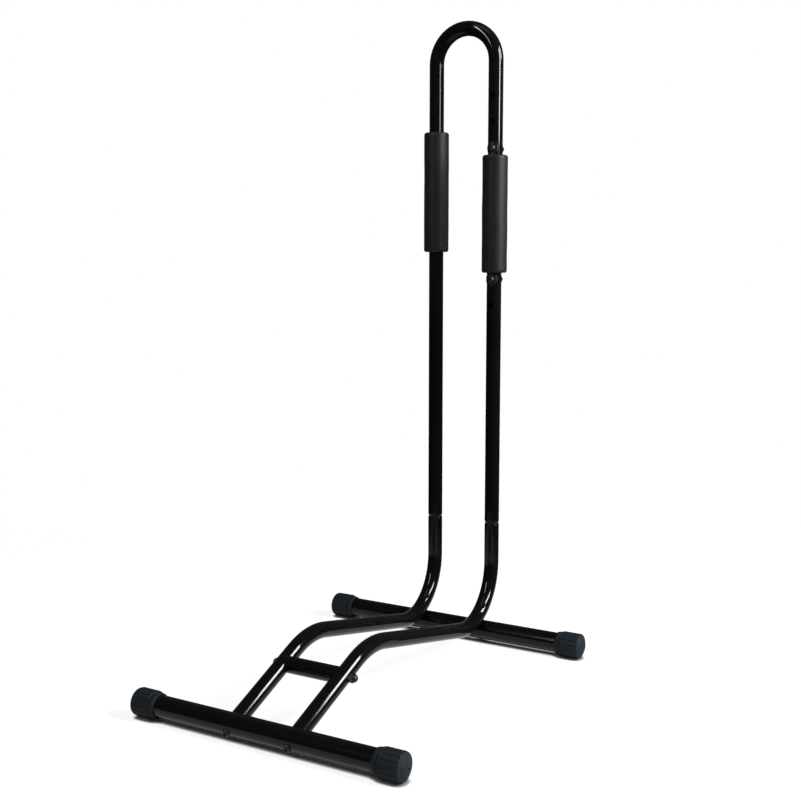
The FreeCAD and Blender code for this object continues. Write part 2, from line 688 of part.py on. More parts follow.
def make_rung_bolt():
    """The long bolt through both lower tubes and the rung, its head on the left."""
    body = make_body("rung_bolt")
    outer_face = rung_half + tube_radius + 2 * size("seat_gap")
    reach = outer_face * 2 + size("nut_height")
    height = size("head_height")
    crown = head_radius / 2
    lean = (head_radius * head_radius - crown * crown - height * height) / (2 * height)
    profile = sketch_on(body, "XZ_Plane", "BoltProfile")
    add_outline(profile, [
        (-outer_face + reach, 0),
        (-outer_face + reach, bolt_radius),
        (-outer_face, bolt_radius),
        (-outer_face, head_radius),
        (-outer_face - height, crown),
        (-outer_face - height, 0),
    ], arcs={3: (-outer_face + lean, 0)})
    revolve(body, profile, "H_Axis", "BoltSolid")
    socket = sketch_on(body, "YZ_Plane", "Socket", z=-outer_face - height)
    add_hexagon(socket, size("socket_width"))
    pocket(body, socket, size("socket_depth"), reverse=True, name="HexSocket")
    sub_parts.append(stand_at(body, 0, leg_y - size("rung_distance"), rung_height))
    make_dome_nut("rung_dome_nut", outer_face, leg_y - size("rung_distance"), rung_height)


# --------------------------------------------------------------------- foam sleeves and their stops

def make_foam_sleeve(name, side, foot, length):
    """A foam sleeve round a leg, its ends rounded, so that a wheel isn't scratched."""
    body = make_body(name)
    bore = tube_radius + size("running_gap")
    soft = size("foam_round")
    profile = sketch_on(body, "XZ_Plane", "SleeveProfile")
    add_outline(profile, [
        (bore, 0),
        (foam_radius - soft, 0),
        (foam_radius, soft),
        (foam_radius, length - soft),
        (foam_radius - soft, length),
        (bore, length),
    ], arcs={1: (foam_radius - soft, soft), 3: (foam_radius - soft, length - soft)})
    revolve(body, profile, "V_Axis", "Sleeve")
    sub_parts.append(stand_at(body, leg_x * side, leg_y, foot))


def make_saddle_washer(name, facing, z):
    """A round washer curved to the leg, under a stop bolt's head or nut."""
    inner = tube_radius + size("seat_gap")
    outer = inner + size("washer_thickness")

    def cylinder(suffix, radius, height):
        made = doc.addObject("Part::Cylinder", f"{name}_{suffix}")
        bind(made, "Radius", radius)
        bind(made, "Height", height)
        return made

    shell = doc.addObject("Part::Cut", f"{name}_shell")
    shell.Base = cylinder("outer", outer, washer_radius * 2)
    shell.Tool = cylinder("inner", inner, washer_radius * 2)
    face = FreeCAD.Rotation(X_AXIS, RIGHT_ANGLE if facing < 0 else -RIGHT_ANGLE)
    disc = cylinder("disc", washer_radius, outer * 2)
    bore = cylinder("bore", bolt_hole_radius, outer * 2)
    for tool in (disc, bore):
        tool.Placement = FreeCAD.Placement(FreeCAD.Vector(), face)
        bind(tool, "Placement.Base.z", washer_radius)
    curved = doc.addObject("Part::Common", f"{name}_curved")
    curved.Base = shell
    curved.Tool = disc
    washer = doc.addObject("Part::Cut", name)
    washer.Base = curved
    washer.Tool = bore
    washer.Label = name
    sub_parts.append(stand_at(washer, leg_x, leg_y, z - washer_radius))


def make_stop(level, z):
    """Bolt, saddle washers and nut through the right leg, which keep the foam sleeve at height."""
    seat = tube_radius + size("seat_gap") * 2 + size("washer_thickness")
    through = seat * 2 + size("nut_height") + size("seat_gap")
    make_bolt(f"{level}_stop_bolt", leg_x, leg_y - seat, z, as_size(RIGHT_ANGLE), through)
    make_saddle_washer(f"{level}_stop_front_washer", -1, z)
    make_saddle_washer(f"{level}_stop_back_washer", 1, z)
    body = make_body(f"{level}_stop_nut")
    hexagon = sketch_on(body, "XY_Plane", "NutHexagon")
    add_hexagon(hexagon, size("nut_width"))
    pad(body, hexagon, size("nut_height"), name="Hexagon")
    bore = sketch_on(body, "XY_Plane", "ThreadBore")
    add_circle(bore, thread_radius)
    pocket(body, bore, size("nut_height") * 3, symmetric=True, name="Thread")
    sub_parts.append(stand_at(body, leg_x, leg_y + seat, z, X_AXIS, as_size(-RIGHT_ANGLE)))


# --------------------------------------------------------------------------------------- assembly

SIDES = (("left", -1), ("right", 1))

make_hoop()
head_seat = bar_radius + size("seat_gap")
front_bolt_turn = incline + RIGHT_ANGLE
front_shank = head_seat + size("plug_setback") + size("plug_depth") / 2
rear_bolt_turn = 3 * RIGHT_ANGLE - rear_bolt_angle
rear_shank = head_seat + bar_radius + size("boss_length") + size("seat_gap")
for side_name, side in SIDES:
    make_lower_tube(f"{side_name}_lower_tube", side)
    make_threaded_plug(f"{side_name}_threaded_plug", side)
    make_boss(f"{side_name}_threaded_boss", side)
    make_bolt(f"front_{side_name}_bolt", front_bolt_x * side,
              front_bar_y - head_seat * cosine(incline),
              bar_height - head_seat * sine(incline), front_bolt_turn, front_shank)
    make_bolt(f"rear_{side_name}_bolt", rear_bolt_x * side,
              rear_bar_y + head_seat * rear_bolt_cosine,
              bar_height - head_seat * rear_bolt_sine, rear_bolt_turn, rear_shank)
    make_end_cap(f"front_{side_name}_end_cap", side, size("front_width"), front_bar_y)
    make_end_cap(f"rear_{side_name}_end_cap", side, size("rear_width"), rear_bar_y)
make_crossbar("front_crossbar", size("front_width"), front_bar_y, front_bolt_x,
              incline - RIGHT_ANGLE)
make_crossbar("rear_crossbar", size("rear_width"), rear_bar_y, rear_bolt_x,
              RIGHT_ANGLE - rear_bolt_angle)
make_rung()
make_rung_bolt()
make_foam_sleeve("left_foam_sleeve", -1, size("left_foam_height"), size("left_foam_length"))
make_foam_sleeve("right_foam_sleeve", 1, right_foam_z, right_foam_length)
make_stop("lower", lower_stop_z)
make_stop("upper", upper_stop_z)

doc.recompute()

failed = [thing.Label for thing in doc.Objects
          if any(word in thing.State for word in ("Invalid", "Error"))]
if failed:
    raise RuntimeError(f"features that failed: {failed}")
for part in sub_parts:
    if part.Shape.isNull() or not part.Shape.isValid() or not part.Shape.Solids:
        raise RuntimeError(f"{part.Label} has no valid solid")

os.makedirs("parts", exist_ok=True)
for part in sub_parts:
    part.Shape.exportStep(os.path.join("parts", f"{part.Label}.step"))
    box = part.Shape.BoundBox
    print(f"{part.Label}: {len(part.Shape.Solids)} solid, {part.Shape.Volume:.0f} mm3, "
          f"X {box.XMin:.1f}..{box.XMax:.1f} Y {box.YMin:.1f}..{box.YMax:.1f} "
          f"Z {box.ZMin:.1f}..{box.ZMax:.1f}")
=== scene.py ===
"""Floor bike rack: powder-coated tubes, foam sleeves and rubber feet in a plain pale studio."""

import logging
import math
from abc import ABC, abstractmethod
from dataclasses import dataclass
from enum import Enum

import bmesh
import bpy
from mathutils import Matrix, Vector, noise


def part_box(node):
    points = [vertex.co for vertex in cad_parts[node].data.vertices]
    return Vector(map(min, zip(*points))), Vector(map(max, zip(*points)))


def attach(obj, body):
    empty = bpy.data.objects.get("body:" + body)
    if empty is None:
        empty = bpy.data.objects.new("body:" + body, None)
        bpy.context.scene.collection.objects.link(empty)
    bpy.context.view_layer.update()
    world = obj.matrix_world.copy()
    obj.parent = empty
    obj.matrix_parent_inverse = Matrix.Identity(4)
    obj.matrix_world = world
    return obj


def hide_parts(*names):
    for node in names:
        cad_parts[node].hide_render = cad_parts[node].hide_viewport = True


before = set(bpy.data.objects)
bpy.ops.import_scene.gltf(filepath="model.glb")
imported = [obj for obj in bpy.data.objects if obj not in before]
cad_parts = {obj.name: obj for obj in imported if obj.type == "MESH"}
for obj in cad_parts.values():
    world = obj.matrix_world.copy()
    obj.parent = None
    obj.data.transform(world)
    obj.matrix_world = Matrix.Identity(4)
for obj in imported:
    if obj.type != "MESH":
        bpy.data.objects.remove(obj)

LOG = logging.getLogger("floor_bike_rack")
Triple = tuple[float, float, float]
Colour = Triple
Span = tuple[float, float]
MM = 0.001
EVEN: Triple = (1.0, 1.0, 1.0)
WHITE: Colour = (1.0, 1.0, 1.0)
WELD = 1e-6
TOUCH = 1e-7


class Slot(Enum):
    """The record's material slots, by what is finished with them."""

    TUBE = "tube_gloss"
    CROSSBAR = "crossbar_satin"
    CAP = "cap_rubber"
    SLEEVE = "sleeve_foam"
    FASTENER = "fastener_steel"
    WASHER = "washer_black"


class Body(Enum):
    """The parts of the rack that move as one."""

    BASE = "base"
    HOOP = "hoop"
    LEFT_SLEEVE = "left_sleeve"


# ------------------------------------------------------------------------------- shader arithmetic

class Wire:
    """An output socket of a node that takes part in plain arithmetic."""

    def __init__(self, graph: "Graph", socket: bpy.types.NodeSocket) -> None:
        """Hold one output socket.

        Args:
            graph: the nodes that it belongs to.
            socket: the output socket.
        """
        self.graph = graph
        self.socket = socket

    def maths(self, operation: str, *others: "Wire | float", flip: bool = False) -> "Wire":
        """Add a Math node.

        Args:
            operation: the node's operation.
            others: the further operands.
            flip: put this wire last instead of first.

        Returns:
            The node's result.
        """
        operands = (*others, self) if flip else (self, *others)
        return self.graph.node(
            "ShaderNodeMath", {"operation": operation}, dict(enumerate(operands)))

    def __add__(self, other: "Wire | float") -> "Wire":
        """Sum."""
        return self.maths("ADD", other)

    __radd__ = __add__

    def __rsub__(self, other: "Wire | float") -> "Wire":
        """Difference from a number."""
        return self.maths("SUBTRACT", other, flip=True)

    def __mul__(self, other: "Wire | float") -> "Wire":
        """Product."""
        return self.maths("MULTIPLY", other)

    __rmul__ = __mul__

    def length(self) -> "Wire":
        """Length of a vector."""
        return self.graph.node("ShaderNodeVectorMath", {"operation": "LENGTH"}, {0: self},
                               output="Value")

    def above(self, low: float, high: float) -> "Wire":
        """Fade from 0 at `low` to 1 at `high`.

        Args:
            low: where the fade starts.
            high: where it ends.

        Returns:
            The mask.
        """
        return self.graph.node(
            "ShaderNodeMapRange", {"interpolation_type": "SMOOTHSTEP"},
            {"Value": self, "From Min": low, "From Max": high})


class Graph:
    """The nodes of one material or world."""

    def __init__(self, owner: bpy.types.Material | bpy.types.World) -> None:
        """Start with no nodes.

        Args:
            owner: the material or world.
        """
        owner.use_nodes = True
        self.nodes = owner.node_tree.nodes
        self.links = owner.node_tree.links
        self.nodes.clear()

    def node(self, kind: str, settings: dict | None = None, inputs: dict | None = None,
             output: int | str = 0) -> Wire:
        """Add a node, set it up and connect it.

        Args:
            kind: the node's type.
            settings: its properties.
            inputs: values or wires by socket name or number.
            output: the socket that is wanted.

        Returns:
            That output.
        """
        made = self.nodes.new(kind)
        for name, value in (settings or {}).items():
            setattr(made, name, value)
        for key, value in (inputs or {}).items():
            socket = self._socket(made.inputs, key)
            if isinstance(value, Wire):
                self.links.new(value.socket, socket)
            else:
                socket.default_value = value
        sockets = made.outputs if len(made.outputs) else made.inputs
        return Wire(self, self._socket(sockets, output))

    @staticmethod
    def _socket(sockets: bpy.types.bpy_prop_collection, key: int | str) -> bpy.types.NodeSocket:
        """Find a socket by number, or by identifier or name among those in use.

        Args:
            sockets: a node's inputs or outputs.
            key: number, identifier or name.

        Returns:
            The socket.
        """
        if isinstance(key, int):
            return sockets[key]
        for socket in sockets:
            if socket.identifier == key:
                return socket
        return next(socket for socket in sockets if socket.name == key and socket.enabled)

    def place(self, stretch: Triple = EVEN) -> Wire:
        """Object coordinates, in metres, stretched along an axis where a pattern asks for it.

        Args:
            stretch: scale along X, Y and Z.

        Returns:
            The coordinates.
        """
        spot = self.node("ShaderNodeTexCoord", output="Object")
        if stretch == EVEN:
            return spot
        return self.node("ShaderNodeMapping", {}, {"Vector": spot, "Scale": stretch})

    def cloud(self, scale: float, detail: float = 2.0, rough: float = 0.5,
              stretch: Triple = EVEN) -> Wire:
        """Soft noise from 0 to 1.

        Args:
            scale: patches per metre.
            detail: octaves.
            rough: weight of the finer octaves.
            stretch: scale along each axis.

        Returns:
            The noise.
        """
        return self.node("ShaderNodeTexNoise", {}, {
            "Vector": self.place(stretch), "Scale": scale, "Detail": detail, "Roughness": rough})

    def cells(self, scale: float) -> Wire:
        """Distance to the nearest of scattered points.

        Args:
            scale: cells per metre.

        Returns:
            The distance.
        """
        return self.node("ShaderNodeTexVoronoi", {}, {"Vector": self.place(), "Scale": scale},
                         output="Distance")

    def blend(self, share: Wire | float, low: Wire | Colour, high: Wire | Colour) -> Wire:
        """Mix two colours.

        Args:
            share: 0 for the first, 1 for the second.
            low: the first colour.
            high: the second colour.

        Returns:
            The mixed colour.
        """
        def colour(value: Wire | Colour) -> Wire | tuple[float, float, float, float]:
            """Give a plain colour its alpha."""
            return value if isinstance(value, Wire) else (*value, 1.0)

        return self.node("ShaderNodeMix", {"data_type": "RGBA"}, {
            "Factor_Float": share, "A_Color": colour(low), "B_Color": colour(high),
        }, output="Result_Color")

    def bump(self, height: Wire, depth: float) -> Wire:
        """Raise the surface by a height from 0 to 1.

        Args:
            height: the height.
            depth: metres from 0 to 1.

        Returns:
            The bent normal.
        """
        return self.node("ShaderNodeBump", {}, {
            "Strength": 1.0, "Distance": depth, "Height": height})

    def surface(self, **inputs: Wire | float | Colour) -> None:
        """Finish the material with one Principled shader.

        Args:
            inputs: its sockets, with underscores for spaces.
        """
        named = {key.replace("_", " "): value for key, value in inputs.items()}
        shader = self.node("ShaderNodeBsdfPrincipled", {}, named)
        self.node("ShaderNodeOutputMaterial", {}, {"Surface": shader})


# ---------------------------------------------------------------------------------------- finishes

@dataclass(frozen=True)
class Finish(ABC):
    """A surface finish that many pieces share."""

    slot: Slot
    base: Colour

    def material(self) -> bpy.types.Material:
        """Build the finish's material.

        Returns:
            The material.
        """
        material = bpy.data.materials.new(self.slot.value)
        self.dress(Graph(material))
        return material

    def tint(self, factor: float, lift: float = 0.0) -> Colour:
        """Make a lighter or darker colour from the base.

        Args:
            factor: what the base is multiplied by.
            lift: grey that is added.

        Returns:
            The colour.
        """
        red, green, blue = (level * factor + lift for level in self.base)
        return red, green, blue

    @abstractmethod
    def dress(self, graph: Graph) -> None:
        """Add the finish's nodes.

        Args:
            graph: the material's nodes.
        """


@dataclass(frozen=True)
class PowderCoat(Finish):
    """Baked black powder: orange peel, faint flow and a few specks of dust."""

    roughness: float
    specular: float
    peel_depth: float
    peel_scale: float = 520.0
    peel_weight: float = 0.8
    grain_per_peel: float = 6.0
    grain_weight: float = 0.2
    flow_scale: float = 9.0
    flow_tint: Span = (1.5, 0.001)
    flow_roughness: Span = (0.85, 0.3)
    speck_scale: float = 900.0
    speck_edge: Span = (0.76, 0.82)
    speck_cover: float = 0.5
    speck_roughness: float = 0.2
    dust_tint: Span = (3.0, 0.012)

    def dress(self, graph: Graph) -> None:
        """Add the coat's nodes.

        Args:
            graph: the material's nodes.
        """
        peel = graph.cloud(self.peel_scale, detail=1.5, rough=0.4)
        grain = graph.cloud(self.peel_scale * self.grain_per_peel)
        flow = graph.cloud(self.flow_scale, detail=3.0)
        speck = graph.cloud(self.speck_scale, detail=0.0).above(*self.speck_edge)
        tone = graph.blend(flow, self.base, self.tint(*self.flow_tint))
        least, spread = self.flow_roughness
        graph.surface(
            Base_Color=graph.blend(speck * self.speck_cover, tone, self.tint(*self.dust_tint)),
            Roughness=self.roughness * (least + spread * flow) + speck * self.speck_roughness,
            Specular_IOR_Level=self.specular,
            Normal=graph.bump(peel * self.peel_weight + grain * self.grain_weight,
                              self.peel_depth),
        )


@dataclass(frozen=True)
class MouldedRubber(Finish):
    """Matte black rubber straight from the mould, with a fine spark texture."""

    roughness: float = 0.5
    specular: float = 0.06
    spark_scale: float = 2600.0
    spark_depth: float = 0.05 * MM
    spark_roughness: float = 0.08
    bloom_scale: float = 45.0
    bloom_tint: Span = (1.25, 0.0006)
    bloom_roughness: float = 0.12
    scuff_scale: float = 160.0
    scuff_stretch: Triple = (1.0, 0.25, 0.25)
    scuff_edge: Span = (0.6, 0.75)
    scuff_cover: float = 0.35
    scuff_tint: Span = (1.6, 0.002)

    def dress(self, graph: Graph) -> None:
        """Add the rubber's nodes.

        Args:
            graph: the material's nodes.
        """
        spark = graph.cloud(self.spark_scale, detail=3.0, rough=0.6)
        bloom = graph.cloud(self.bloom_scale, detail=4.0, rough=0.6)
        scuff = graph.cloud(self.scuff_scale, detail=4.0, rough=0.7,
                            stretch=self.scuff_stretch).above(*self.scuff_edge)
        chalky = graph.blend(bloom, self.base, self.tint(*self.bloom_tint))
        graph.surface(
            Base_Color=graph.blend(scuff * self.scuff_cover, chalky,
                                   self.tint(*self.scuff_tint)),
            Roughness=(self.roughness + self.bloom_roughness * bloom
                       + self.spark_roughness * spark),
            Specular_IOR_Level=self.specular,
            Normal=graph.bump(spark, self.spark_depth),
        )


@dataclass(frozen=True)
class FoamRubber(Finish):
    """Closed-cell foam: pinhole cells darkened with painted shade, a soft skin and a slight
    mottle.
    """

    roughness: float = 0.42
    specular: float = 0.11
    sheen: float = 0.02
    sheen_roughness: float = 0.5
    cell_scale: float = 1500.0
    cell_weight: float = 0.5
    cell_depth: float = 0.06 * MM
    coarse_per_cell: float = 0.36
    coarse_edge: Span = (0.05, 0.3)
    coarse_weight: float = 0.5
    mottle_scale: float = 60.0
    mottle_weight: float = 0.6
    mottle_roughness: float = 0.1
    skin_scale: float = 7.0
    skin_stretch: Triple = (1.0, 1.0, 0.35)
    skin_weight: float = 0.4
    pale_tint: Span = (1.45, 0.002)
    pit_shade_tint: float = 0.35

    def dress(self, graph: Graph) -> None:
        """Add the foam's nodes.

        Args:
            graph: the material's nodes.
        """
        cell = graph.cells(self.cell_scale)
        coarse = graph.cells(self.cell_scale * self.coarse_per_cell).above(*self.coarse_edge)
        mottle = graph.cloud(self.mottle_scale, detail=4.0, rough=0.6)
        skin = graph.cloud(self.skin_scale, stretch=self.skin_stretch)
        tone = graph.blend(mottle * self.mottle_weight + skin * self.skin_weight,
                           self.base, self.tint(*self.pale_tint))
        graph.surface(
            # Painted shade: the sunken pinholes are darkened towards the pit tint.
            Base_Color=graph.blend(coarse, self.tint(self.pit_shade_tint), tone),
            Roughness=self.roughness + self.mottle_roughness * mottle,
            Specular_IOR_Level=self.specular,
            Sheen_Weight=self.sheen,
            Sheen_Roughness=self.sheen_roughness,
            Normal=graph.bump(cell * self.cell_weight + coarse * self.coarse_weight,
                              self.cell_depth),
        )


@dataclass(frozen=True)
class DarkPlating(Finish):
    """Black-passivated steel of bolts and nuts, with fine scratches and handling wear."""

    roughness: float = 0.3
    specular: float = 0.25
    metallic: float = 0.3
    patina_scale: float = 300.0
    patina_cover: float = 0.15
    patina_metallic: float = 0.1
    patina_roughness: float = 0.2
    patina_weight: float = 0.4
    scratch_scale: float = 700.0
    scratch_stretch: Triple = (0.15, 1.0, 1.0)
    scratch_edge: Span = (0.58, 0.72)
    scratch_cover: float = 0.5
    scratch_weight: float = 0.6
    bare_tint: Span = (3.0, 0.02)
    depth: float = 0.03 * MM

    def dress(self, graph: Graph) -> None:
        """Add the plating's nodes.

        Args:
            graph: the material's nodes.
        """
        patina = graph.cloud(self.patina_scale, detail=4.0, rough=0.6)
        scratch = graph.cloud(self.scratch_scale, detail=3.0, rough=0.7,
                              stretch=self.scratch_stretch).above(*self.scratch_edge)
        bare = scratch * self.scratch_cover + patina * self.patina_cover
        graph.surface(
            Base_Color=graph.blend(bare, self.base, self.tint(*self.bare_tint)),
            Metallic=self.metallic - self.patina_metallic * patina,
            Roughness=self.roughness + self.patina_roughness * patina,
            Specular_IOR_Level=self.specular,
            Normal=graph.bump(patina * self.patina_weight + scratch * self.scratch_weight,
                              self.depth),
        )


@dataclass(frozen=True)
class BlackPlastic(Finish):
    """Smooth black plastic of the saddle washers."""

    roughness: float = 0.3
    specular: float = 0.25
    flow_scale: float = 220.0
    flow_tint: Span = (1.8, 0.002)
    flow_roughness: float = 0.15
    flow_weight: float = 0.5
    grain_scale: float = 4000.0
    grain_weight: float = 0.5
    depth: float = 0.01 * MM

    def dress(self, graph: Graph) -> None:
        """Add the plastic's nodes.

        Args:
            graph: the material's nodes.
        """
        flow = graph.cloud(self.flow_scale, detail=3.0)
        grain = graph.cloud(self.grain_scale)
        graph.surface(
            Base_Color=graph.blend(flow, self.base, self.tint(*self.flow_tint)),
            Roughness=self.roughness + self.flow_roughness * flow,
            Specular_IOR_Level=self.specular,
            Normal=graph.bump(grain * self.grain_weight + flow * self.flow_weight,
                              self.depth),
        )


@dataclass(frozen=True)
class Palette:
    """The rack's finishes."""

    finishes: tuple[Finish, ...] = (
        PowderCoat(Slot.TUBE, (0.0008, 0.0008, 0.001), roughness=0.07, specular=0.13,
                   peel_depth=0.0005 * MM),
        PowderCoat(Slot.CROSSBAR, (0.0006, 0.0006, 0.0008), roughness=0.12, specular=0.18,
                   peel_depth=0.002 * MM, peel_scale=640.0),
        MouldedRubber(Slot.CAP, (0.0052, 0.0072, 0.009)),
        FoamRubber(Slot.SLEEVE, (0.0025, 0.0027, 0.0033)),
        DarkPlating(Slot.FASTENER, (0.004, 0.004, 0.0045)),
        BlackPlastic(Slot.WASHER, (0.0012, 0.0012, 0.0015)),
    )

    def materials(self) -> dict[Slot, bpy.types.Material]:
        """Build every material once.

        Returns:
            Material by slot.
        """
        return {finish.slot: finish.material() for finish in self.finishes}


# ------------------------------------------------------------------------------------ sub-assembly

@dataclass
class SubAssembly:
    """Pieces of the rack that are dressed together."""

    materials: dict[Slot, bpy.types.Material]

    def dress_node(self, name: str, slot: Slot) -> None:
        """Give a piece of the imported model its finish.

        Args:
            name: the node's name.
            slot: the finish.
        """
        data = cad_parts[name].data
        data.materials.clear()
        data.materials.append(self.materials[slot])
        LOG.info("%s: %s", name, slot.value)

    def add_piece(self, mesh: bmesh.types.BMesh, name: str, node: str, slot: Slot,
                  body: Body) -> bpy.types.Object:
        """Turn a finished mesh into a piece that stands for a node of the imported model.

        Args:
            mesh: the mesh, in the rack's frame; it is freed.
            name: the piece's name.
            node: the node that it replaces.
            slot: its finish.
            body: what it moves with.

        Returns:
            The piece.
        """
        bmesh.ops.remove_doubles(mesh, verts=mesh.verts, dist=WELD)
        bmesh.ops.recalc_face_normals(mesh, faces=mesh.faces)
        for face in mesh.faces:
            face.smooth = True
        data = bpy.data.meshes.new(name)
        mesh.to_mesh(data)
        mesh.free()
        data.materials.append(self.materials[slot])
        piece = bpy.data.objects.new(name, data)
        bpy.context.scene.collection.objects.link(piece)
        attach(piece, body.value)
        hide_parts(node)
        LOG.info("%s: %d faces on %s", name, len(data.polygons), body.value)
        return piece


# ------------------------------------------------------------------------------------ foam sleeves

@dataclass
class FoamSleeve(SubAssembly):
    """A foam sleeve pushed over a leg: rounded ends and a slightly uneven skin."""

    node: str = ""
    body: Body = Body.HOOP
    bore: float = 13.05 * MM
    end_round: float = 4.2 * MM
    lip_round: float = 1.0 * MM
    round_steps: int = 6
    sides: int = 112
    rings: int = 80
    waviness: float = 0.35 * MM
    swell_scale: Span = (22.0, 26.0)
    fine_scale: Span = (70.0, 75.0)
    fine_weight: float = 0.35
    end_weight: float = 0.55
    middle_weight: float = 0.45
    bore_side: float = 0.2
    seed: float = 0.0

    def build(self) -> None:
        """Build the sleeve in the room of its node."""
        low, high = (Vector(corner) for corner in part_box(self.node))
        centre = Vector(((low.x + high.x) / 2, (low.y + high.y) / 2, low.z))
        radius = (high.x - low.x) / 2 - self.waviness / 2
        length = high.z - low.z
        outline = [(0.0, self.bore), (0.0, radius), (length, radius), (length, self.bore)]
        mesh = bmesh.new()
        corners = [mesh.verts.new(centre + Vector((far, 0.0, up))) for up, far in outline]
        mesh.faces.new(corners)
        self._round(mesh, corners[1:3], self.end_round)
        inner = [vert for vert in mesh.verts
                 if abs(vert.co.x - centre.x - self.bore) < TOUCH]
        self._round(mesh, inner, self.lip_round)
        bmesh.ops.delete(mesh, geom=mesh.faces[:], context="FACES_ONLY")
        long_edges = [edge for edge in mesh.edges if edge.calc_length() > length / 2]
        bmesh.ops.subdivide_edges(mesh, edges=long_edges, cuts=self.rings)
        bmesh.ops.spin(mesh, geom=mesh.verts[:] + mesh.edges[:], cent=centre,
                       axis=(0.0, 0.0, 1.0), angle=math.tau, steps=self.sides, use_merge=True)
        self._ruffle(mesh, centre, radius, length)
        piece = self.add_piece(mesh, f"{self.node}_skin", self.node, Slot.SLEEVE, self.body)

    def _round(self, mesh: bmesh.types.BMesh, corners: list[bmesh.types.BMVert],
               size: float) -> None:
        """Round corners of the outline.

        Args:
            mesh: the outline.
            corners: its corners.
            size: how much of each side the rounding takes.
        """
        bmesh.ops.bevel(mesh, geom=corners, offset=size, offset_type="OFFSET",
                        segments=self.round_steps, profile=0.5, affect="VERTICES", material=-1)

    def _ruffle(self, mesh: bmesh.types.BMesh, centre: Vector, radius: float,
                length: float) -> None:
        """Let the outer skin swell and sink a little.

        Args:
            mesh: the sleeve.
            centre: foot of its axis.
            radius: its outer radius.
            length: its length.
        """
        for vert in mesh.verts:
            out = Vector((vert.co.x - centre.x, vert.co.y - centre.y, 0.0))
            share = (out.length - self.bore) / (radius - self.bore)
            if share < self.bore_side:
                continue
            swell, fine = (noise.noise(Vector((out.x * across, out.y * across,
                                               vert.co.z * along + self.seed)))
                           for across, along in (self.swell_scale, self.fine_scale))
            swell = swell + self.fine_weight * fine
            middle = math.sin(math.pi * min(max((vert.co.z - centre.z) / length, 0.0), 1.0))
            calm = self.end_weight + self.middle_weight * middle
            vert.co += out.normalized() * self.waviness * share * swell * calm


# ---------------------------------------------------------------------------------------- end caps

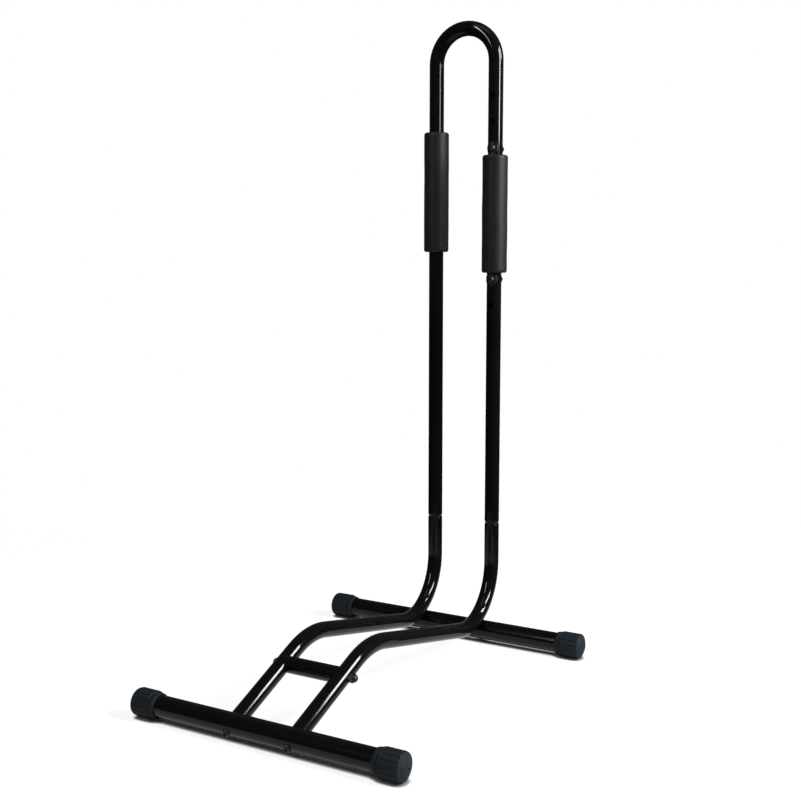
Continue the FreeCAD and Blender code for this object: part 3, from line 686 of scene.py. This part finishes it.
@dataclass
class EndCap(SubAssembly):
    """A rubber cap on a crossbar's end: tapered collar, groove, fluted grip, domed face."""

    node: str = ""
    socket: float = 17.08 * MM
    collar: float = 9.0 * MM
    collar_foot: float = 2.7 * MM
    collar_drop: float = 1.0 * MM
    groove_width: float = 1.4 * MM
    groove_depth: float = 2.0 * MM
    floor: float = 8.0 * MM
    dome: float = 5.0 * MM
    rim_round: float = 5.0 * MM
    rim_steps: int = 14
    face_steps: int = 16
    flutes: int = 16
    flute_depth: float = 1.2 * MM
    flute_cutter: float = 4.5 * MM
    flute_lead: float = 1.4 * MM
    pit: float = 1.7 * MM
    pit_depth: float = 2.5 * MM
    pit_taper: Triple = (0.98, 0.9, 0.8)
    edge_round: float = 0.3 * MM
    steps_per_flute: int = 20

    def build(self) -> None:
        """Build the cap in the room of its node."""
        low, high = (Vector(corner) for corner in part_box(self.node))
        side = 1.0 if low.x + high.x > 0.0 else -1.0
        radius = (high.z - low.z) / 2
        centre = Vector((low.x if side > 0.0 else high.x, (low.y + high.y) / 2,
                         (low.z + high.z) / 2))
        mesh = bmesh.new()
        corners = [mesh.verts.new(centre + Vector((side * far, 0.0, up)))
                   for far, up in self._outline(radius, high.x - low.x)]
        for pair in zip(corners, corners[1:]):
            mesh.edges.new(pair)
        bmesh.ops.spin(mesh, geom=mesh.verts[:] + mesh.edges[:], cent=centre,
                       axis=(1.0, 0.0, 0.0), angle=math.tau,
                       steps=self.flutes * self.steps_per_flute, use_merge=True)
        self._flute(mesh, centre, side, radius)
        self.add_piece(mesh, f"{self.node}_moulding", self.node, Slot.CAP, Body.BASE)

    def _outline(self, radius: float, length: float) -> list[tuple[float, float]]:
        """List the outline from the socket's floor over the grip to the pit in the face.

        Args:
            radius: outer radius.
            length: length of the cap.

        Returns:
            Distance from the open end and radius of every corner.
        """
        soft = self.edge_round
        edge = length - self.dome
        grip = self.collar + self.groove_width
        thick = radius - self.collar_drop
        thin = radius - self.collar_foot
        deep = radius - self.groove_depth
        flat = radius - self.rim_round
        outline = [
            (length - self.floor, 0.0), (length - self.floor, self.socket), (0.0, self.socket),
            (0.0, thin - soft), (soft, thin), (self.collar - soft, thick),
            (self.collar, thick - soft), (self.collar, deep), (grip, deep),
            (grip, radius - soft), (grip + soft, radius),
            (grip + self.flute_lead, radius), (grip + 2 * self.flute_lead, radius),
        ]
        for step in range(self.rim_steps + 1):
            turn = math.pi / 2 * step / self.rim_steps
            outline.append((edge - self.rim_round * (1.0 - math.sin(turn)),
                            flat + self.rim_round * math.cos(turn)))
        ball = (flat * flat / self.dome + self.dome) / 2
        for step in range(1, self.face_steps + 1):
            up = flat + (self.pit + soft - flat) * step / self.face_steps
            outline.append((length - ball + math.sqrt(ball * ball - up * up), up))
        bottom = length - self.pit_depth
        mouth, wall, foot = (self.pit * share for share in self.pit_taper)
        return outline + [(length - soft / 2, self.pit), (length - soft, mouth),
                          (bottom, wall), (bottom, foot), (bottom, 0.0)]

    def _flute(self, mesh: bmesh.types.BMesh, centre: Vector, side: float,
               radius: float) -> None:
        """Cut the round flutes into the grip; they run out in the rounded rim.

        Args:
            mesh: the cap.
            centre: middle of the open end.
            side: +1 for a right cap, -1 for a left one.
            radius: outer radius.
        """
        start = self.collar + self.groove_width
        away = radius + self.flute_cutter - self.flute_depth
        pitch = math.tau / self.flutes
        for vert in mesh.verts:
            far = (vert.co.x - centre.x) * side
            out = Vector((0.0, vert.co.y - centre.y, vert.co.z - centre.z))
            if out.length < radius - self.flute_depth or far < start + self.edge_round:
                continue
            turn = math.atan2(out.z, out.y) % pitch - pitch / 2
            reach = self.flute_cutter ** 2 - (away * math.sin(turn)) ** 2
            if reach <= 0.0:
                continue
            lead = min((far - start) / self.flute_lead, 1.0)
            bed = away * math.cos(turn) - math.sqrt(reach)
            bed += (radius - bed) * (1.0 - lead)
            if out.length > bed:
                vert.co -= out.normalized() * (out.length - bed)


# -------------------------------------------------------------------------------------- tube frame

@dataclass
class TubeFrame(SubAssembly):
    """The coated tubes: hoop, lower tubes, crossbars and rung."""

    glossy: tuple[str, ...] = ("hoop_tube", "left_lower_tube", "right_lower_tube")
    satin: tuple[str, ...] = ("front_crossbar", "rear_crossbar", "rung_tube")

    def build(self) -> None:
        """Dress the tubes."""
        for name in self.glossy:
            self.dress_node(name, Slot.TUBE)
        for name in self.satin:
            self.dress_node(name, Slot.CROSSBAR)


# --------------------------------------------------------------------------------------- fasteners

@dataclass
class Fasteners(SubAssembly):
    """Bolts, nuts, saddle washers, threaded plugs and bosses."""

    sides: tuple[str, ...] = ("left", "right")
    stops: tuple[str, ...] = ("lower", "upper")

    def build(self) -> None:
        """Dress the fasteners."""
        steel = ["rung_bolt", "rung_dome_nut"]
        for side in self.sides:
            steel += [f"front_{side}_bolt", f"rear_{side}_bolt", f"{side}_threaded_plug",
                      f"{side}_threaded_boss"]
        for stop in self.stops:
            steel += [f"{stop}_stop_bolt", f"{stop}_stop_nut"]
            for face in ("front", "back"):
                self.dress_node(f"{stop}_stop_{face}_washer", Slot.WASHER)
        for name in steel:
            self.dress_node(name, Slot.FASTENER)


# ------------------------------------------------------------------------------------------ studio

@dataclass(frozen=True)
class Lamp:
    """A soft rectangular lamp."""

    name: str
    place: Triple
    target: Triple
    width: float
    height: float
    power: float


@dataclass
class Studio:
    """Pale floor, plain backdrop, lamps and the camera."""

    floor_radius: float = 14.0
    floor_level: float = -0.0006
    floor_sides: int = 96
    floor_colour: Colour = (0.86, 0.86, 0.865)
    paper_scale: float = 3.0
    paper_shade: float = 0.995
    lit_share: float = 0.86
    full_glow: Span = (0.7, 1.6)
    contact_reach: float = 0.01
    contact_shade: Span = (0.42, 0.85)
    contact_shadow_colour: Colour = (0.01, 0.01, 0.011)
    contact_samples: int = 24
    mirrored_floor: Span = (0.4, 0.9)
    mirrored_fade: float = 0.98
    dim_world: float = 0.1
    camera_place: Triple = (0.97328, -1.58515, 0.68931)
    camera_pitch: float = -6.972
    camera_yaw: float = 30.335
    camera_lens: float = 52.79
    camera_sensor: float = 36.0
    camera_reach: float = 60.0
    lamps: tuple[Lamp, ...] = (
        Lamp("strip_right", (2.9, 0.16, 1.87), (0.0, 0.25, 0.97), 0.66, 1.45, 235.0),
        Lamp("strip_back", (2.4, 1.15, 2.0), (-0.05, -0.1, 0.1), 0.4, 1.2, 120.0),
        Lamp("strip_left", (-0.8, -2.26, 2.42), (0.03, 0.307, 1.08), 0.26, 1.5, 60.0),
        Lamp("soft_top", (0.3, -0.6, 3.4), (0.0, 0.0, 0.0), 1.6, 1.2, 8.0),
    )

    def build(self) -> None:
        """Set the stage."""
        self._floor()
        self._world()
        for lamp in self.lamps:
            self._light(lamp)
        self._camera()

    @staticmethod
    def _ray(graph: Graph, *kinds: str) -> Wire:
        """Whether a ray is of one of the named kinds.

        Args:
            graph: the nodes.
            kinds: outputs of the Light Path node.

        Returns:
            1 for such rays.
        """
        first, *others = (graph.node("ShaderNodeLightPath", output=kind) for kind in kinds)
        return sum(others, first).above(0.0, 1.0)

    def _floor(self) -> None:
        """Lay the floor just under the rack."""
        mesh = bmesh.new()
        bmesh.ops.create_circle(mesh, cap_ends=True, segments=self.floor_sides,
                                radius=self.floor_radius)
        bmesh.ops.translate(mesh, verts=mesh.verts, vec=(0.0, 0.0, self.floor_level))
        data = bpy.data.meshes.new("studio_floor")
        mesh.to_mesh(data)
        mesh.free()
        floor = bpy.data.objects.new("studio_floor", data)
        bpy.context.scene.collection.objects.link(floor)
        data.materials.append(self._paper())

    def _paper(self) -> bpy.types.Material:
        """Make the pale paper, which keeps a faint shadow and has a dark contact shadow painted
        into its glow where the rack touches.

        Returns:
            The floor's material.
        """
        material = bpy.data.materials.new("studio_floor")
        graph = Graph(material)
        shaded = tuple(level * self.paper_shade for level in self.floor_colour)
        tone = graph.blend(graph.cloud(self.paper_scale), self.floor_colour, shaded)
        matte = graph.node("ShaderNodeBsdfDiffuse", {}, {"Color": tone})
        distance = graph.place().length()
        far = distance.above(*self.full_glow)
        # Painted shadow: where ambient occlusion finds the rack close by, the floor's glow is
        # darkened towards the contact colour.
        openness = graph.node("ShaderNodeAmbientOcclusion", {"samples": self.contact_samples},
                              {"Distance": self.contact_reach}, output="AO")
        white = graph.blend(openness.above(*self.contact_shade), self.contact_shadow_colour, WHITE)
        glossy = self._ray(graph, "Is Glossy Ray")
        faded = glossy * distance.above(*self.mirrored_floor) * self.mirrored_fade
        glow = graph.node("ShaderNodeEmission", {}, {"Color": white, "Strength": 1.0 - faded})
        seen = self._ray(graph, "Is Camera Ray", "Is Glossy Ray", "Is Transmission Ray")
        flat = (far + glossy).above(0.0, 1.0)
        share = seen * (self.lit_share + flat * (1.0 - self.lit_share))
        shown = graph.node("ShaderNodeMixShader", {}, {0: share, 1: matte, 2: glow})
        graph.node("ShaderNodeOutputMaterial", {}, {"Surface": shown})
        return material

    def _world(self) -> None:
        """Hang a backdrop that is white to the camera and dim to the rack and the floor."""
        world = bpy.data.worlds.new("studio")
        bpy.context.scene.world = world
        graph = Graph(world)
        seen = self._ray(graph, "Is Camera Ray", "Is Transmission Ray")
        strength = self.dim_world + seen * (1.0 - self.dim_world)
        sky = graph.node("ShaderNodeBackground", {}, {
            "Color": (*WHITE, 1.0), "Strength": strength})
        graph.node("ShaderNodeOutputWorld", {}, {"Surface": sky})

    @staticmethod
    def _light(lamp: Lamp) -> None:
        """Hang a lamp.

        Args:
            lamp: the lamp.
        """
        data = bpy.data.lights.new(lamp.name, "AREA")
        data.shape = "RECTANGLE"
        data.size = lamp.width
        data.size_y = lamp.height
        data.energy = lamp.power
        light = bpy.data.objects.new(lamp.name, data)
        bpy.context.scene.collection.objects.link(light)
        aim = Vector(lamp.target) - Vector(lamp.place)
        turn = aim.to_track_quat("-Z", "Y").to_matrix().to_4x4()
        light.matrix_world = Matrix.Translation(lamp.place) @ turn

    def _camera(self) -> None:
        """Stand the camera where the photograph was taken from."""
        data = bpy.data.cameras.new("camera")
        data.lens = self.camera_lens
        data.sensor_width = self.camera_sensor
        data.clip_end = self.camera_reach
        camera = bpy.data.objects.new("camera", data)
        camera.location = self.camera_place
        camera.rotation_euler = (math.radians(90.0 + self.camera_pitch), 0.0,
                                 math.radians(self.camera_yaw))
        bpy.context.scene.collection.objects.link(camera)
        bpy.context.scene.camera = camera


def main() -> None:
    """Dress the rack, piece by piece."""
    logging.basicConfig(level=logging.INFO, format="%(name)s: %(message)s")
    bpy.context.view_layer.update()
    bpy.context.scene.view_settings.view_transform = "Standard"
    materials = Palette().materials()
    TubeFrame(materials).build()
    Fasteners(materials).build()
    FoamSleeve(materials, node="left_foam_sleeve", body=Body.LEFT_SLEEVE, seed=3.0).build()
    FoamSleeve(materials, node="right_foam_sleeve", body=Body.HOOP, seed=11.0).build()
    for bar in ("front", "rear"):
        for side in ("left", "right"):
            EndCap(materials, node=f"{bar}_{side}_end_cap").build()
    Studio().build()


if __name__ == "__main__":
    main()
